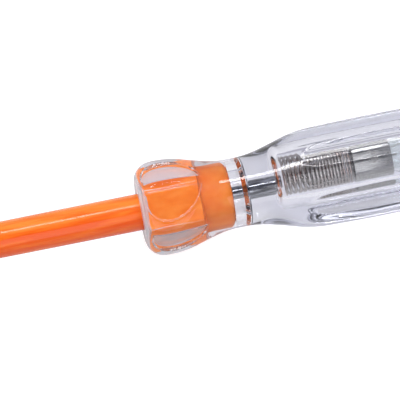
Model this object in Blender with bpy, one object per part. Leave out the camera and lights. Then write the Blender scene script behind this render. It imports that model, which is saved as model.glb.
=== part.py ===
# A mains voltage tester: a flat screwdriver blade in a clear handle that holds a neon lamp.
# Metres, +Z up. The blade points along -X, the touch cap along +X, and the handle's body lies on z = 0.
# Places along the handle are measured from the front of its guard.

import math

import bmesh
import bpy

# Clearances between pieces, and how far a cutter runs past what it cuts
piece_gap = 0.0003
overrun = 0.001
weld_distance = 0.0000001

# Blade
blade_reach = 0.062
shank_radius = 0.0015
tip_thickness = 0.0005
tip_flat_length = 0.0016
tip_taper_length = 0.0085
tip_runout = 0.0002
shank_end = 0.0128
rod_radius = 0.00095
rod_stand_in_bore = 0.0007

# Orange sleeve on the blade, and the orange bush that the handle is moulded round
sleeve_radius = 0.0027
sleeve_tip_radius = 0.00255
sleeve_end_round = 0.0004
bare_blade_length = 0.0095
sleeve_seat_depth = 0.0012
bush_radius = 0.00325
bush_end = 0.0138
bush_end_round = 0.0009
collar_end = 0.008
collar_slope_length = 0.001
collar_edge = 0.0005
guard_wall = 0.00143
air_pocket_end = 0.0163

# Clear handle: outline
nose_radius = 0.0045
guard_radius = 0.00706
guard_crest = 0.0036
waist_radius = 0.00512
waist_start = 0.0141
waist_end = 0.0152
flare_length = 0.0122
body_radius = 0.0076
shoulder_drop = 0.0002
shoulder_radius = body_radius - shoulder_drop
swell_start = 0.024
swell_length = 0.011
handle_length = 0.074
rear_band_length = 0.0015
tail_length = 0.0115
tail_start = handle_length - rear_band_length - tail_length
tail_drop = 0.0012
tail_radius = body_radius - tail_drop
end_round = 0.0012
rear_face_drop = 0.0008
rear_face_radius = tail_radius - rear_face_drop

# Clear handle: six guard flats with D-shaped windows, and six grooves along the body
side_count = 6
flat_distance = 0.00618
flats_end = 0.0125
guard_turn = math.radians(5)
window_depth = 0.00035
window_front = 0.00145
window_length = 0.0081
window_height = 0.0051
window_edge_inset = 0.0009
window_lean = 0.0011
window_sides = (-1, -1, 1, -1, -1, 1)
groove_depth = 0.0006
groove_floor_radius = body_radius - groove_depth
groove_half_angle = math.radians(15)
groove_start = 0.019

# Component bore, a little off the handle's axis, and the socket for the touch cap
bore_front = 0.0207
bore_radius = 0.0033
bore_offset = 0.0007
bore_offset_angle = math.radians(155)
socket_depth = 0.00785
socket_radius = 0.004
socket_chamfer = 0.0003

# Contact springs
wire_radius = 0.00021
front_spring_radius = 0.0030
front_spring_length = 0.01075
front_spring_turns = 11
rear_spring_radius = 0.0024
rear_spring_length = 0.0055
rear_spring_turns = 5

# Neon lamp
lamp_length = 0.021
lamp_cap_radius = 0.003
lamp_cap_length = 0.0057
lamp_cap_wall = 0.00025
lamp_cap_end_thickness = 0.0004
lamp_cap_edge = 0.0004
glass_radius = 0.0029
glass_wall = 0.0005
glass_shoulder = 0.0006
lead_radius = 0.0002
electrode_radius = 0.0004
electrode_spread = 0.0009
electrode_overlap = 0.0034
crank_length = 0.0009

# Series resistor
resistor_length = 0.007
resistor_cap_radius = 0.0027
resistor_cap_length = 0.0017
resistor_cap_wall = 0.0003
resistor_cap_edge = 0.0002

# Contact disc and touch cap
disc_thickness = 0.0008
disc_edge = 0.0002
cap_head_radius = 0.0045
cap_head_length = 0.004
cap_edge = 0.0005
rib_depth = 0.00025
rib_count = 24
rib_top_share = 0.3
rib_flank_share = 0.2

# How finely round forms are cut
handle_segments = 60
hole_segments = 32
groove_segments = 96
facet_turn_share = 0.5
small_segments = 32
turn_points = 10

# Places that follow from the sizes above
overall_rear = handle_length + piece_gap + cap_head_length
guard_front_place = (blade_reach - overall_rear) / 2
axis_height = body_radius * math.cos(groove_half_angle)
socket_front = handle_length - socket_depth
front_spring_start = bore_front + piece_gap
# The springs, lamp and resistor share the bore's length in the proportions of their own lengths.
stack_room = socket_front - front_spring_start - 3 * piece_gap
stack_share = stack_room / (front_spring_length + lamp_length + resistor_length + rear_spring_length)
front_spring_fit = front_spring_length * stack_share
lamp_fit = lamp_length * stack_share
resistor_fit = resistor_length * stack_share
rear_spring_fit = rear_spring_length * stack_share
lamp_start = front_spring_start + front_spring_fit + piece_gap
resistor_start = lamp_start + lamp_fit + piece_gap
rear_spring_start = resistor_start + resistor_fit + piece_gap
disc_start = socket_front + piece_gap
disc_radius = socket_radius - piece_gap
stem_start = disc_start + disc_thickness + piece_gap
sleeve_hole_radius = sleeve_radius + piece_gap
bush_start = sleeve_seat_depth + piece_gap
collar_radius = flat_distance - window_depth - guard_wall
collar_pocket_radius = collar_radius + piece_gap
pocket_radius = bush_radius + piece_gap
rod_hole_radius = rod_radius + piece_gap


def clear_scene():
    for thing in list(bpy.data.objects):
        bpy.data.objects.remove(thing)


def plastic_or_metal(name, color, roughness, metallic=0.0, see_through=0.0):
    finish = bpy.data.materials.new(name)
    finish.use_nodes = True
    shader = finish.node_tree.nodes["Principled BSDF"]
    shader.inputs["Base Color"].default_value = (*color, 1)
    shader.inputs["Roughness"].default_value = roughness
    shader.inputs["Metallic"].default_value = metallic
    shader.inputs["Transmission Weight"].default_value = see_through
    return finish


def empty(name, parent=None, place=(0, 0, 0)):
    frame = bpy.data.objects.new(name, None)
    bpy.context.scene.collection.objects.link(frame)
    frame.parent = parent
    frame.location = place
    return frame


def object_from(shape, name, parent, place_along, finish=None):
    recalculate = shape.faces[:]
    bmesh.ops.recalc_face_normals(shape, faces=recalculate)
    mesh = bpy.data.meshes.new(name)
    shape.to_mesh(mesh)
    shape.free()
    mesh.shade_smooth()
    mesh.set_sharp_from_angle(angle=math.radians(30))
    thing = bpy.data.objects.new(name, mesh)
    bpy.context.scene.collection.objects.link(thing)
    thing.parent = parent
    thing.location = (place_along, 0, 0)
    if finish:
        mesh.materials.append(finish)
    return thing


def turned(name, outline, parent, place_along, finish=None, segments=small_segments, closed=False):
    # Spins an outline of (along, radius) points about X. A closed outline gives a ring or a tube.
    shape = bmesh.new()
    corners = [shape.verts.new((along, 0, radius)) for along, radius in outline]
    edges = [shape.edges.new(pair) for pair in zip(corners, corners[1:])]
    if closed:
        edges.append(shape.edges.new((corners[-1], corners[0])))
    bmesh.ops.spin(
        shape,
        geom=corners + edges,
        cent=(0, 0, 0),
        axis=(1, 0, 0),
        angle=2 * math.pi,
        steps=segments,
        use_merge=True,
    )
    bmesh.ops.remove_doubles(shape, verts=shape.verts, dist=weld_distance)
    return object_from(shape, name, parent, place_along, finish)


def prisms(name, outlines, parent, place_along):
    # Each entry is (near loop, far loop) of points, joined side by side into one closed prism.
    shape = bmesh.new()
    for near, far in outlines:
        near_corners = [shape.verts.new(point) for point in near]
        far_corners = [shape.verts.new(point) for point in far]
        shape.faces.new(near_corners)
        shape.faces.new(far_corners)
        count = len(near)
        for i in range(count):
            after = (i + 1) % count
            shape.faces.new((near_corners[i], near_corners[after], far_corners[after], far_corners[i]))
    return object_from(shape, name, parent, place_along)


def cut(thing, cutter):
    cutter.hide_render = True
    cutter.display_type = "WIRE"
    step = thing.modifiers.new(cutter.name, "BOOLEAN")
    step.operation = "DIFFERENCE"
    step.object = cutter


def tube(name, points, radii, parent, finish):
    curve = bpy.data.curves.new(name, "CURVE")
    curve.dimensions = "3D"
    curve.bevel_depth = 1
    curve.bevel_resolution = 1
    curve.use_fill_caps = True
    line = curve.splines.new("POLY")
    line.points.add(len(points) - 1)
    for knot, point, radius in zip(line.points, points, radii):
        knot.co = (*point, 1)
        knot.radius = radius
    curve.materials.append(finish)
    thing = bpy.data.objects.new(name, curve)
    bpy.context.scene.collection.objects.link(thing)
    thing.parent = parent
    return thing


def ease(share):
    share = min(max(share, 0), 1)
    return (1 - math.cos(math.pi * share)) / 2


def between(start, end, count):
    return [start + (end - start) * i / count for i in range(count)]


def around(distance, angle):
    # A point at that distance from the axis. Angle 0 is -Y, and a quarter turn is +Z.
    return (-distance * math.cos(angle), distance * math.sin(angle))


def handle_radius(along):
    if along < guard_crest:
        forward_share = (guard_crest - along) / guard_crest
        return nose_radius + (guard_radius - nose_radius) * math.sqrt(1 - forward_share**2)
    radius = guard_radius
    radius -= (guard_radius - waist_radius) * ease((along - guard_crest) / (waist_start - guard_crest))
    radius += (shoulder_radius - waist_radius) * ease((along - waist_end) / flare_length)
    radius += (body_radius - shoulder_radius) * ease((along - swell_start) / swell_length)
    radius -= (body_radius - tail_radius) * ease((along - tail_start) / tail_length)
    return radius


def handle_outline():
    round_start = handle_length - end_round
    nose_steps = 6
    nose = [guard_crest * (1 - math.cos(math.pi / 2 * i / nose_steps)) for i in range(nose_steps)]
    stations = nose
    stations += between(guard_crest, waist_end, 10)
    stations += between(waist_end, waist_end + flare_length, 12)
    stations += between(waist_end + flare_length, swell_start + swell_length, 4)
    stations += [swell_start + swell_length]
    stations += between(tail_start, tail_start + tail_length, 8)
    outline = [(0, 0)] + [(along, handle_radius(along)) for along in stations]
    round_steps = 4
    drop = handle_radius(round_start) - rear_face_radius
    for i in range(round_steps + 1):
        angle = math.pi / 2 * i / round_steps
        outline.append((round_start + end_round * math.sin(angle), rear_face_radius + drop * math.cos(angle)))
    outline.append((handle_length, 0))
    return outline


def guard_flats(parent):
    # One frame with a hexagonal hole: it leaves six flats on the round guard.
    shape = bmesh.new()
    inner_corner = flat_distance / math.cos(math.pi / side_count)
    outer_corner = 2 * body_radius
    rings = []
    for along in (-overrun, flats_end):
        for distance in (inner_corner, outer_corner):
            ring = []
            for i in range(side_count):
                angle = guard_turn + (2 * i + 1) * math.pi / side_count
                ring.append(shape.verts.new((along, *around(distance, angle))))
            rings.append(ring)
    inner_front, outer_front, inner_back, outer_back = rings
    for i in range(side_count):
        after = (i + 1) % side_count
        for near, far in (
            (inner_front, outer_front),
            (outer_front, outer_back),
            (outer_back, inner_back),
            (inner_back, inner_front),
        ):
            shape.faces.new((near[i], near[after], far[after], far[i]))
    return object_from(shape, "guard_flats_cutter", parent, 0)


def window_outline():
    # Across the flat: the straight side lies near one corner of the guard, and the arc leans forward.
    half_flat = flat_distance * math.tan(math.pi / side_count)
    straight = window_edge_inset - half_flat
    half = window_length / 2
    middle = window_front + half
    steps = 14
    points = []
    for i in range(steps + 1):
        angle = math.pi * i / steps
        along = middle + half * math.cos(angle) - window_lean * math.sin(angle)
        points.append((along, straight + window_height * math.sin(angle)))
    return points


def window_cutters(parent):
    outlines = []
    for i, side in zip(range(side_count), window_sides):
        middle = guard_turn + 2 * i * math.pi / side_count
        loops = []
        for distance in (flat_distance - window_depth, guard_radius + overrun):
            loop = []
            for along, across in window_outline():
                y, z = around(distance, middle)
                across_y, across_z = around(side * across, middle + math.pi / 2)
                loop.append((along, y + across_y, z + across_z))
            loops.append(loop)
        outlines.append(loops)
    return prisms("window_cutters", outlines, parent, 0)


def groove_cutters(parent):
    # Round bars laid along the body. Each meets the body at the land's edges and bottoms at the groove's floor.
    half_width = body_radius * math.sin(groove_half_angle)
    rise = body_radius * math.cos(groove_half_angle) - groove_floor_radius
    bar_radius = (half_width**2 + rise**2) / (2 * rise)
    bar_distance = groove_floor_radius + bar_radius
    outlines = []
    for i in range(side_count):
        y, z = around(bar_distance, (2 * i + 1) * math.pi / side_count)
        loops = []
        for along in (groove_start, handle_length + overrun):
            loop = []
            for k in range(groove_segments):
                angle = 2 * math.pi * (k + facet_turn_share) / groove_segments
                loop.append((along, y + bar_radius * math.cos(angle), z + bar_radius * math.sin(angle)))
            loops.append(loop)
        outlines.append(loops)
    return prisms("groove_cutters", outlines, parent, 0)


def make_handle(axis, bore_axis, finish):
    handle = turned("handle", handle_outline(), axis, 0, finish, handle_segments)
    cut(handle, guard_flats(axis))
    cut(handle, window_cutters(axis))
    cut(handle, groove_cutters(axis))
    # Front: the sleeve's hole, the bush's pocket with the air pocket behind it, and the rod's hole
    pocket_outline = [
        (-overrun, 0),
        (-overrun, sleeve_hole_radius),
        (sleeve_seat_depth, sleeve_hole_radius),
        (sleeve_seat_depth, collar_pocket_radius - collar_edge),
        (sleeve_seat_depth + collar_edge, collar_pocket_radius),
        (collar_end + piece_gap, collar_pocket_radius),
        (collar_end + collar_slope_length + piece_gap, pocket_radius),
        (air_pocket_end, pocket_radius),
        (air_pocket_end, rod_hole_radius),
        (bore_front + overrun, rod_hole_radius),
        (bore_front + overrun, 0),
    ]
    cut(handle, turned("pocket_cutter", pocket_outline, axis, 0, segments=hole_segments))
    bore_outline = [
        (bore_front, 0),
        (bore_front, bore_radius),
        (socket_front + overrun, bore_radius),
        (socket_front + overrun, 0),
    ]
    cut(handle, turned("bore_cutter", bore_outline, bore_axis, 0, segments=hole_segments))
    # Rear: the touch cap's socket, with a chamfered mouth
    socket_outline = [
        (socket_front, 0),
        (socket_front, socket_radius),
        (handle_length - socket_chamfer, socket_radius),
        (handle_length + overrun, socket_radius + socket_chamfer + overrun),
        (handle_length + overrun, 0),
    ]
    cut(handle, turned("socket_cutter", socket_outline, axis, 0, segments=hole_segments))
    return handle


def tip_cutters(parent):
    # The two ground faces: parallel at the edge, then easing out to the round shank.
    steps = 10
    slope = []
    for i in range(steps + 1):
        along = tip_flat_length + tip_taper_length * i / steps
        rise = tip_thickness / 2 + (shank_radius + tip_runout - tip_thickness / 2) * (i / steps) ** 2
        slope.append((along, rise))
    top = shank_radius + overrun
    profile = [(-overrun, tip_thickness / 2)] + slope
    profile += [(tip_flat_length + tip_taper_length, top), (-overrun, top)]
    outlines = []
    for side in (1, -1):
        near = [(along, -top, side * height) for along, height in profile]
        far = [(along, top, side * height) for along, height in profile]
        outlines.append((near, far))
    return prisms("tip_cutters", outlines, parent, -blade_reach)


def make_blade(axis, finish):
    outline = [
        (0, 0),
        (0, shank_radius),
        (blade_reach + shank_end, shank_radius),
        (blade_reach + shank_end, rod_radius),
        (blade_reach + bore_front + rod_stand_in_bore, rod_radius),
        (blade_reach + bore_front + rod_stand_in_bore, 0),
    ]
    blade = turned("blade", outline, axis, -blade_reach, finish)
    cut(blade, tip_cutters(axis))
    return blade


def make_sleeve(axis, finish):
    hole = shank_radius + piece_gap
    length = blade_reach - bare_blade_length + sleeve_seat_depth
    outline = [
        (0, hole),
        (0, sleeve_tip_radius - sleeve_end_round),
        (sleeve_end_round / 3, sleeve_tip_radius - sleeve_end_round / 3),
        (sleeve_end_round, sleeve_tip_radius),
        (length, sleeve_radius),
        (length, hole),
    ]
    return turned("insulating_sleeve", outline, axis, bare_blade_length - blade_reach, finish, closed=True)


def make_bush(axis, finish):
    # A collar that fills the guard, then a plain barrel with a rounded end in the waist
    hole = shank_radius + piece_gap
    length = bush_end - bush_start
    outline = [
        (0, hole),
        (0, collar_radius - collar_edge),
        (collar_edge, collar_radius),
        (collar_end - bush_start, collar_radius),
        (collar_end + collar_slope_length - bush_start, bush_radius),
    ]
    steps = 4
    for i in range(steps + 1):
        angle = math.pi / 2 * i / steps
        along = length - bush_end_round * (1 - math.sin(angle))
        outline.append((along, bush_radius - bush_end_round * (1 - math.cos(angle))))
    outline.append((length, hole))
    return turned("nose_bush", outline, axis, bush_start, finish, closed=True)


def spring_points(length, radius, turns):
    # A helix whose two ends run straight for one wire diameter, square to the faces that they meet.
    middle_radius = radius - wire_radius
    tail = 2 * wire_radius
    steps = turns * turn_points
    pitch_length = length - 2 * tail
    points = [(0, middle_radius, 0)]
    for i in range(steps + 1):
        angle = 2 * math.pi * i / turn_points
        along = tail + pitch_length * i / steps
        points.append((along, middle_radius * math.cos(angle), middle_radius * math.sin(angle)))
    last = points[-1]
    points.append((length, last[1], last[2]))
    return points


def least_gap(points):
    # The least clear distance between wire that lies more than half a turn apart.
    apart = turn_points // 2 + 1
    nearest = min(
        math.dist(points[i], points[k])
        for i in range(len(points))
        for k in range(i + apart, len(points))
    )
    return nearest - 2 * wire_radius


def make_spring(name, start, length, radius, turns, bore_axis, finish):
    points = spring_points(length, radius, turns)
    print(name, "least gap to itself, mm:", round(least_gap(points) * 1000, 3))
    spring = tube(name, points, [wire_radius] * len(points), bore_axis, finish)
    spring.location = (start, 0, 0)
    return spring


def thimble(name, start, length, radius, wall, end_thickness, edge, opens, bore_axis, finish):
    # A drawn metal end cap. It opens towards +X or -X.
    outline = [
        (0, 0),
        (0, radius - edge),
        (opens * edge, radius),
        (opens * length, radius),
        (opens * length, radius - wall),
        (opens * end_thickness, radius - wall),
        (opens * end_thickness, 0),
    ]
    return turned(name, outline, bore_axis, start, finish)


def make_lamp(bore_axis, metal, glass, wire):
    lamp_end = lamp_start + lamp_fit
    caps = (("lamp_front_cap", lamp_start, 1), ("lamp_rear_cap", lamp_end, -1))
    for name, start, opens in caps:
        thimble(
            name,
            start,
            lamp_cap_length,
            lamp_cap_radius,
            lamp_cap_wall,
            lamp_cap_end_thickness,
            lamp_cap_edge,
            opens,
            bore_axis,
            metal,
        )
    make_glass(bore_axis, glass)
    make_electrodes(bore_axis, wire)


def make_glass(bore_axis, glass):
    # A tube that narrows inside each cap, and closes there to the small hole that a lead runs through.
    inset = lamp_cap_end_thickness + piece_gap
    length = lamp_fit - 2 * inset
    neck_radius = lamp_cap_radius - lamp_cap_wall - piece_gap
    neck_length = lamp_cap_length - inset + piece_gap
    lead_hole = lead_radius + piece_gap
    half_outline = [
        (0, lead_hole),
        (0, neck_radius - glass_wall),
        (glass_wall, neck_radius),
        (neck_length, neck_radius),
        (neck_length + glass_shoulder, glass_radius),
    ]
    inner_half = [
        (neck_length + glass_shoulder, glass_radius - glass_wall),
        (neck_length, neck_radius - glass_wall),
        (3 * glass_wall, neck_radius - glass_wall),
        (2 * glass_wall, lead_hole),
    ]
    outline = half_outline
    outline += [(length - along, radius) for along, radius in reversed(half_outline)]
    outline += [(length - along, radius) for along, radius in reversed(inner_half)]
    outline += inner_half
    return turned("lamp_glass", outline, bore_axis, lamp_start + inset, glass, closed=True)


def make_electrodes(bore_axis, wire):
    # Two rods side by side in the middle of the glass, each cranked over from the lead of its own end.
    middle = lamp_start + lamp_fit / 2
    lead_start = lamp_fit / 2 - lamp_cap_end_thickness - piece_gap
    rod_start = electrode_overlap / 2 + crank_length
    for name, end in (("lamp_front_electrode", -1), ("lamp_rear_electrode", 1)):
        places = [
            (lead_start, 0),
            (rod_start + crank_length, 0),
            (rod_start, electrode_spread),
            (rod_start - crank_length / 2, electrode_spread),
            (-electrode_overlap / 2, electrode_spread),
        ]
        radii = [lead_radius, lead_radius, lead_radius, electrode_radius, electrode_radius]
        points = [(end * along, -end * across, 0) for along, across in places]
        electrode = tube(name, points, radii, bore_axis, wire)
        electrode.location = (middle, 0, 0)


def make_resistor(bore_axis, metal, ceramic):
    inset = resistor_cap_wall + piece_gap
    core_radius = resistor_cap_radius - inset
    core_length = resistor_fit - 2 * inset
    core_outline = [
        (0, 0),
        (0, core_radius - resistor_cap_edge),
        (resistor_cap_edge, core_radius),
        (core_length - resistor_cap_edge, core_radius),
        (core_length, core_radius - resistor_cap_edge),
        (core_length, 0),
    ]
    turned("resistor_body", core_outline, bore_axis, resistor_start + inset, ceramic)
    resistor_end = resistor_start + resistor_fit
    caps = (("resistor_front_cap", resistor_start, 1), ("resistor_rear_cap", resistor_end, -1))
    for name, start, opens in caps:
        thimble(
            name,
            start,
            resistor_cap_length,
            resistor_cap_radius,
            resistor_cap_wall,
            resistor_cap_wall,
            resistor_cap_edge,
            opens,
            bore_axis,
            metal,
        )


def make_contact_disc(axis, finish):
    outline = [
        (0, 0),
        (0, disc_radius - disc_edge),
        (disc_edge, disc_radius),
        (disc_thickness - disc_edge, disc_radius),
        (disc_thickness, disc_radius - disc_edge),
        (disc_thickness, 0),
    ]
    return turned("contact_disc", outline, axis, disc_start, finish)


def ribbed_loop(shape, along, inset):
    # One rib and one furrow after another round the head
    pitch = 2 * math.pi / rib_count
    loop = []
    for i in range(rib_count):
        steps = (
            (0, 0),
            (rib_top_share, 0),
            (rib_top_share + rib_flank_share, rib_depth),
            (1 - rib_flank_share, rib_depth),
        )
        for share, depth in steps:
            y, z = around(cap_head_radius - depth - inset, pitch * (i + share))
            loop.append(shape.verts.new((along, y, z)))
    return loop


def make_touch_cap(axis, finish):
    seat = handle_length + piece_gap - stem_start
    stem_radius = disc_radius
    shape = bmesh.new()
    loops = [
        ribbed_loop(shape, seat, cap_edge / 2),
        ribbed_loop(shape, seat + cap_edge / 2, 0),
        ribbed_loop(shape, seat + cap_head_length - cap_edge, 0),
        ribbed_loop(shape, seat + cap_head_length, cap_edge),
    ]
    for near, far in zip(loops, loops[1:]):
        for i in range(len(near)):
            after = (i + 1) % len(near)
            shape.faces.new((near[i], near[after], far[after], far[i]))
    shape.faces.new(loops[0])
    shape.faces.new(loops[-1])
    head = object_from(shape, "touch_cap", axis, stem_start, finish)
    stem_outline = [
        (0, 0),
        (0, stem_radius - cap_edge),
        (cap_edge, stem_radius),
        (seat + cap_edge, stem_radius),
        (seat + cap_edge, 0),
    ]
    stem = turned("touch_cap_stem_shape", stem_outline, axis, stem_start)
    stem.hide_render = True
    stem.display_type = "WIRE"
    join = head.modifiers.new("stem", "BOOLEAN")
    join.operation = "UNION"
    join.object = stem
    return head


def main():
    clear_scene()
    clear_plastic = plastic_or_metal("clear_plastic", (0.8, 0.82, 0.9), 0.05, see_through=1.0)
    orange_plastic = plastic_or_metal("orange_plastic", (0.95, 0.16, 0.02), 0.35)
    steel = plastic_or_metal("steel", (0.55, 0.56, 0.58), 0.3, metallic=1.0)
    spring_steel = plastic_or_metal("spring_steel", (0.35, 0.34, 0.33), 0.35, metallic=1.0)
    plated_steel = plastic_or_metal("plated_steel", (0.6, 0.6, 0.58), 0.3, metallic=1.0)
    nickelled_brass = plastic_or_metal("nickelled_brass", (0.72, 0.69, 0.62), 0.25, metallic=1.0)
    brass = plastic_or_metal("brass", (0.8, 0.6, 0.3), 0.3, metallic=1.0)
    glass = plastic_or_metal("glass", (0.95, 0.97, 0.97), 0.02, see_through=1.0)
    ceramic = plastic_or_metal("ceramic", (0.45, 0.38, 0.3), 0.6)
    axis = empty("handle_axis", place=(guard_front_place, 0, axis_height))
    bore_y, bore_z = around(bore_offset, bore_offset_angle)
    bore_axis = empty("bore_axis", axis, (0, bore_y, bore_z))
    make_blade(axis, steel)
    make_sleeve(axis, orange_plastic)
    make_bush(axis, orange_plastic)
    make_handle(axis, bore_axis, clear_plastic)
    make_spring(
        "front_contact_spring",
        front_spring_start,
        front_spring_fit,
        front_spring_radius,
        front_spring_turns,
        bore_axis,
        spring_steel,
    )
    make_lamp(bore_axis, plated_steel, glass, steel)
    make_resistor(bore_axis, plated_steel, ceramic)
    make_spring(
        "rear_contact_spring",
        rear_spring_start,
        rear_spring_fit,
        rear_spring_radius,
        rear_spring_turns,
        bore_axis,
        spring_steel,
    )
    make_contact_disc(axis, brass)
    make_touch_cap(axis, nickelled_brass)


main()
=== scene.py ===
import math

import bpy
import numpy as np
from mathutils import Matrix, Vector


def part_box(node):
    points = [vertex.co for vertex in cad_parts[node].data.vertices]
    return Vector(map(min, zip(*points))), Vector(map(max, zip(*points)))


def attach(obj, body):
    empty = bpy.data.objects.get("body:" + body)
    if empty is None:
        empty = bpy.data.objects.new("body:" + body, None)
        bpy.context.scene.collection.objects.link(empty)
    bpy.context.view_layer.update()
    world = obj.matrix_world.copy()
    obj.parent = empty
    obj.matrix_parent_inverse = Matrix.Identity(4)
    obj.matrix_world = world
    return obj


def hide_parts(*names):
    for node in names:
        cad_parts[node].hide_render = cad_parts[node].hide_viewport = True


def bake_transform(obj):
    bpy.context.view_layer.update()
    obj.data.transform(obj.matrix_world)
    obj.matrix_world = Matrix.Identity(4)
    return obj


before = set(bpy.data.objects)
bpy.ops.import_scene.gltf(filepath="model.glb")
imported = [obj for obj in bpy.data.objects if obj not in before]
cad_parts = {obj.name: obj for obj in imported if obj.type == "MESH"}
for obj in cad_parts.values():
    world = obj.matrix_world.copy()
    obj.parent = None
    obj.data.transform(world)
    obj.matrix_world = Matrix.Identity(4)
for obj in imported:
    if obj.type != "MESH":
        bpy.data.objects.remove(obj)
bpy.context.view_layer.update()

mm = 0.001
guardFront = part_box("handle")[0].x / mm  # places along the tester are counted from here, in mm
sixth = 60.0  # degrees from one flat, window or groove of the handle to the next


def middleOf(node):
    low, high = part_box(node)
    return (low + high) / 2


handleAxis = middleOf("contact_disc")
boreAxis = middleOf("lamp_front_cap")


def place(along, axis=handleAxis):
    # millimetres behind the guard's front, to a point on that axis
    return Vector(((guardFront + along) * mm, axis.y, axis.z))


# Helpers come first, then one block for each piece
def selectOnly(piece):
    bpy.ops.object.select_all(action="DESELECT")
    piece.select_set(True)
    bpy.context.view_layer.objects.active = piece


def drawOut(name, stations, segments, hollow=False):
    # A ring is extruded and scaled from station to station: (along, radius) or (along, radius, axis)
    stations = [(*station, handleAxis)[:3] for station in stations]
    along, radius, axis = stations[0]
    spot = place(along, axis)
    bpy.ops.object.select_all(action="DESELECT")
    bpy.ops.mesh.primitive_circle_add(
        vertices=segments,
        radius=radius * mm,
        fill_type="NOTHING" if hollow else "NGON",
        location=spot,
        rotation=(0, math.pi / 2, 0),
    )
    piece = bpy.context.object
    piece.name = piece.data.name = name
    bpy.ops.object.transform_apply(location=True, rotation=True, scale=True)
    bpy.ops.object.mode_set(mode="EDIT")
    bpy.ops.mesh.select_all(action="SELECT")
    for along, newRadius, axis in stations[1:]:
        newSpot = place(along, axis)
        bpy.ops.mesh.extrude_region_move(TRANSFORM_OT_translate={"value": newSpot - spot})
        if newRadius != radius:
            share = newRadius / radius
            bpy.ops.transform.resize(value=(1, share, share), center_override=newSpot)
        spot, radius = newSpot, newRadius
    bpy.ops.mesh.select_all(action="SELECT")
    bpy.ops.mesh.remove_doubles(threshold=0.00001 * mm)
    bpy.ops.mesh.normals_make_consistent(inside=False)
    bpy.ops.object.mode_set(mode="OBJECT")
    return piece


def onAxis(stations, axis):
    return [(along, radius, axis) for along, radius in stations]


def quarterTurn(steps, fromDegrees=0):
    # angles in even steps up to a quarter turn
    return np.linspace(math.radians(fromDegrees), math.pi / 2, steps + 1)


def rearCorner(end, radius, size):
    # three stations round the rear corner of a turned piece
    return [(end - size, radius), (end - 0.3 * size, radius - 0.3 * size), (end, radius - size)]


def mirrored(stations, start, end):
    # the same stations in a mirror halfway between start and end
    return [(start + end - along, radius) for along, radius in reversed(stations)]


def roundEdges(piece, width, above=35):
    selectOnly(piece)
    bevel = piece.modifiers.new("rounded edges", "BEVEL")
    bevel.width = width * mm
    bevel.segments = 3
    bevel.limit_method = "ANGLE"
    bevel.angle_limit = math.radians(above)
    bpy.ops.object.modifier_apply(modifier=bevel.name)


def pointsOf(piece):
    points = np.empty(len(piece.data.vertices) * 3)
    piece.data.vertices.foreach_get("co", points)
    return points.reshape(-1, 3)


def movePoints(piece, points):
    piece.data.vertices.foreach_set("co", points.ravel())
    piece.data.update()


def splitPoints(points):
    # places along the tester, offsets from its axis and distances from it, in mm
    along = points[:, 0] / mm - guardFront
    y, z = (points[:, 1] - handleAxis.y) / mm, (points[:, 2] - handleAxis.z) / mm
    return along, y, z, np.hypot(y, z)


def scaleAcross(points, y, z, share):
    points[:, 1] = handleAxis.y + y * share * mm
    points[:, 2] = handleAxis.z + z * share * mm
    return points


def nearestSixth(y, z, firstAt):
    # which of six flats or grooves is nearest, the first of them firstAt degrees round from -Y towards +Z,
    # and how far round from its middle the point lies, in radians
    turn = np.degrees(np.arctan2(z, -y)) % 360 - firstAt
    number = np.round(turn / sixth)
    return number.astype(int) % 6, np.radians(turn - number * sixth)


def finishPiece(piece, material, body, node, above=35):
    selectOnly(piece)
    bpy.ops.object.shade_smooth_by_angle(angle=math.radians(above))
    piece.data.materials.clear()
    piece.data.materials.append(material)
    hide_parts(node)
    if body:
        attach(piece, body)
    return piece


def ease(share):
    return (1 - np.cos(np.pi * np.clip(share, 0, 1))) / 2


def softMin(a, b, width):
    near = np.maximum(width - np.abs(a - b), 0) / width
    return np.minimum(a, b) - near * near * width / 4


def addNode(tree, kind, inputs=None, **settings):
    node = tree.nodes.new(kind)
    for name, value in settings.items():
        setattr(node, name, value)
    for name, value in (inputs or {}).items():
        if isinstance(value, bpy.types.NodeSocket):
            tree.links.new(value, node.inputs[name])
        else:
            node.inputs[name].default_value = value
    return node


def colour(code):
    # sRGB hex to linear
    parts = [int(code[i : i + 2], 16) / 255 for i in (0, 2, 4)]
    return (*[p / 12.92 if p <= 0.04045 else ((p + 0.055) / 1.055) ** 2.4 for p in parts], 1)


def startMaterial(name):
    material = bpy.data.materials.new(name)
    material.use_nodes = True
    tree = material.node_tree
    tree.nodes.clear()
    spots = addNode(tree, "ShaderNodeTexCoord").outputs["Object"]
    return material, tree, spots


def stretched(tree, spots, along, across):
    # pattern coordinates with one unit to so many millimetres along and across the tester
    scale = (1 / (along * mm), 1 / (across * mm), 1 / (across * mm))
    return addNode(tree, "ShaderNodeMapping", {"Vector": spots, "Scale": scale}).outputs["Vector"]


def ramp(tree, factor, stops, blending="LINEAR"):
    node = addNode(tree, "ShaderNodeValToRGB", {"Fac": factor})
    node.color_ramp.interpolation = blending
    elements = node.color_ramp.elements
    while len(elements) < len(stops):
        elements.new(0.5)
    for element, (position, code) in zip(elements, stops):
        element.position = position
        element.color = colour(code)
    return node.outputs["Color"]


def ranged(tree, value, low, high, newLow, newHigh):
    return addNode(
        tree,
        "ShaderNodeMapRange",
        {"Value": value, "From Min": low, "From Max": high, "To Min": newLow, "To Max": newHigh},
    ).outputs["Result"]


def noise(tree, vector, detail=3.0, rough=0.5):
    return addNode(
        tree,
        "ShaderNodeTexNoise",
        {"Vector": vector, "Scale": 1.0, "Detail": detail, "Roughness": rough},
    ).outputs["Fac"]


def bumped(tree, height, depth):
    return addNode(
        tree,
        "ShaderNodeBump",
        {"Height": height, "Distance": depth * mm, "Strength": 1.0},
    ).outputs["Normal"]


def calculate(tree, operation, *values):
    return addNode(tree, "ShaderNodeMath", dict(enumerate(values)), operation=operation).outputs[0]


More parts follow.
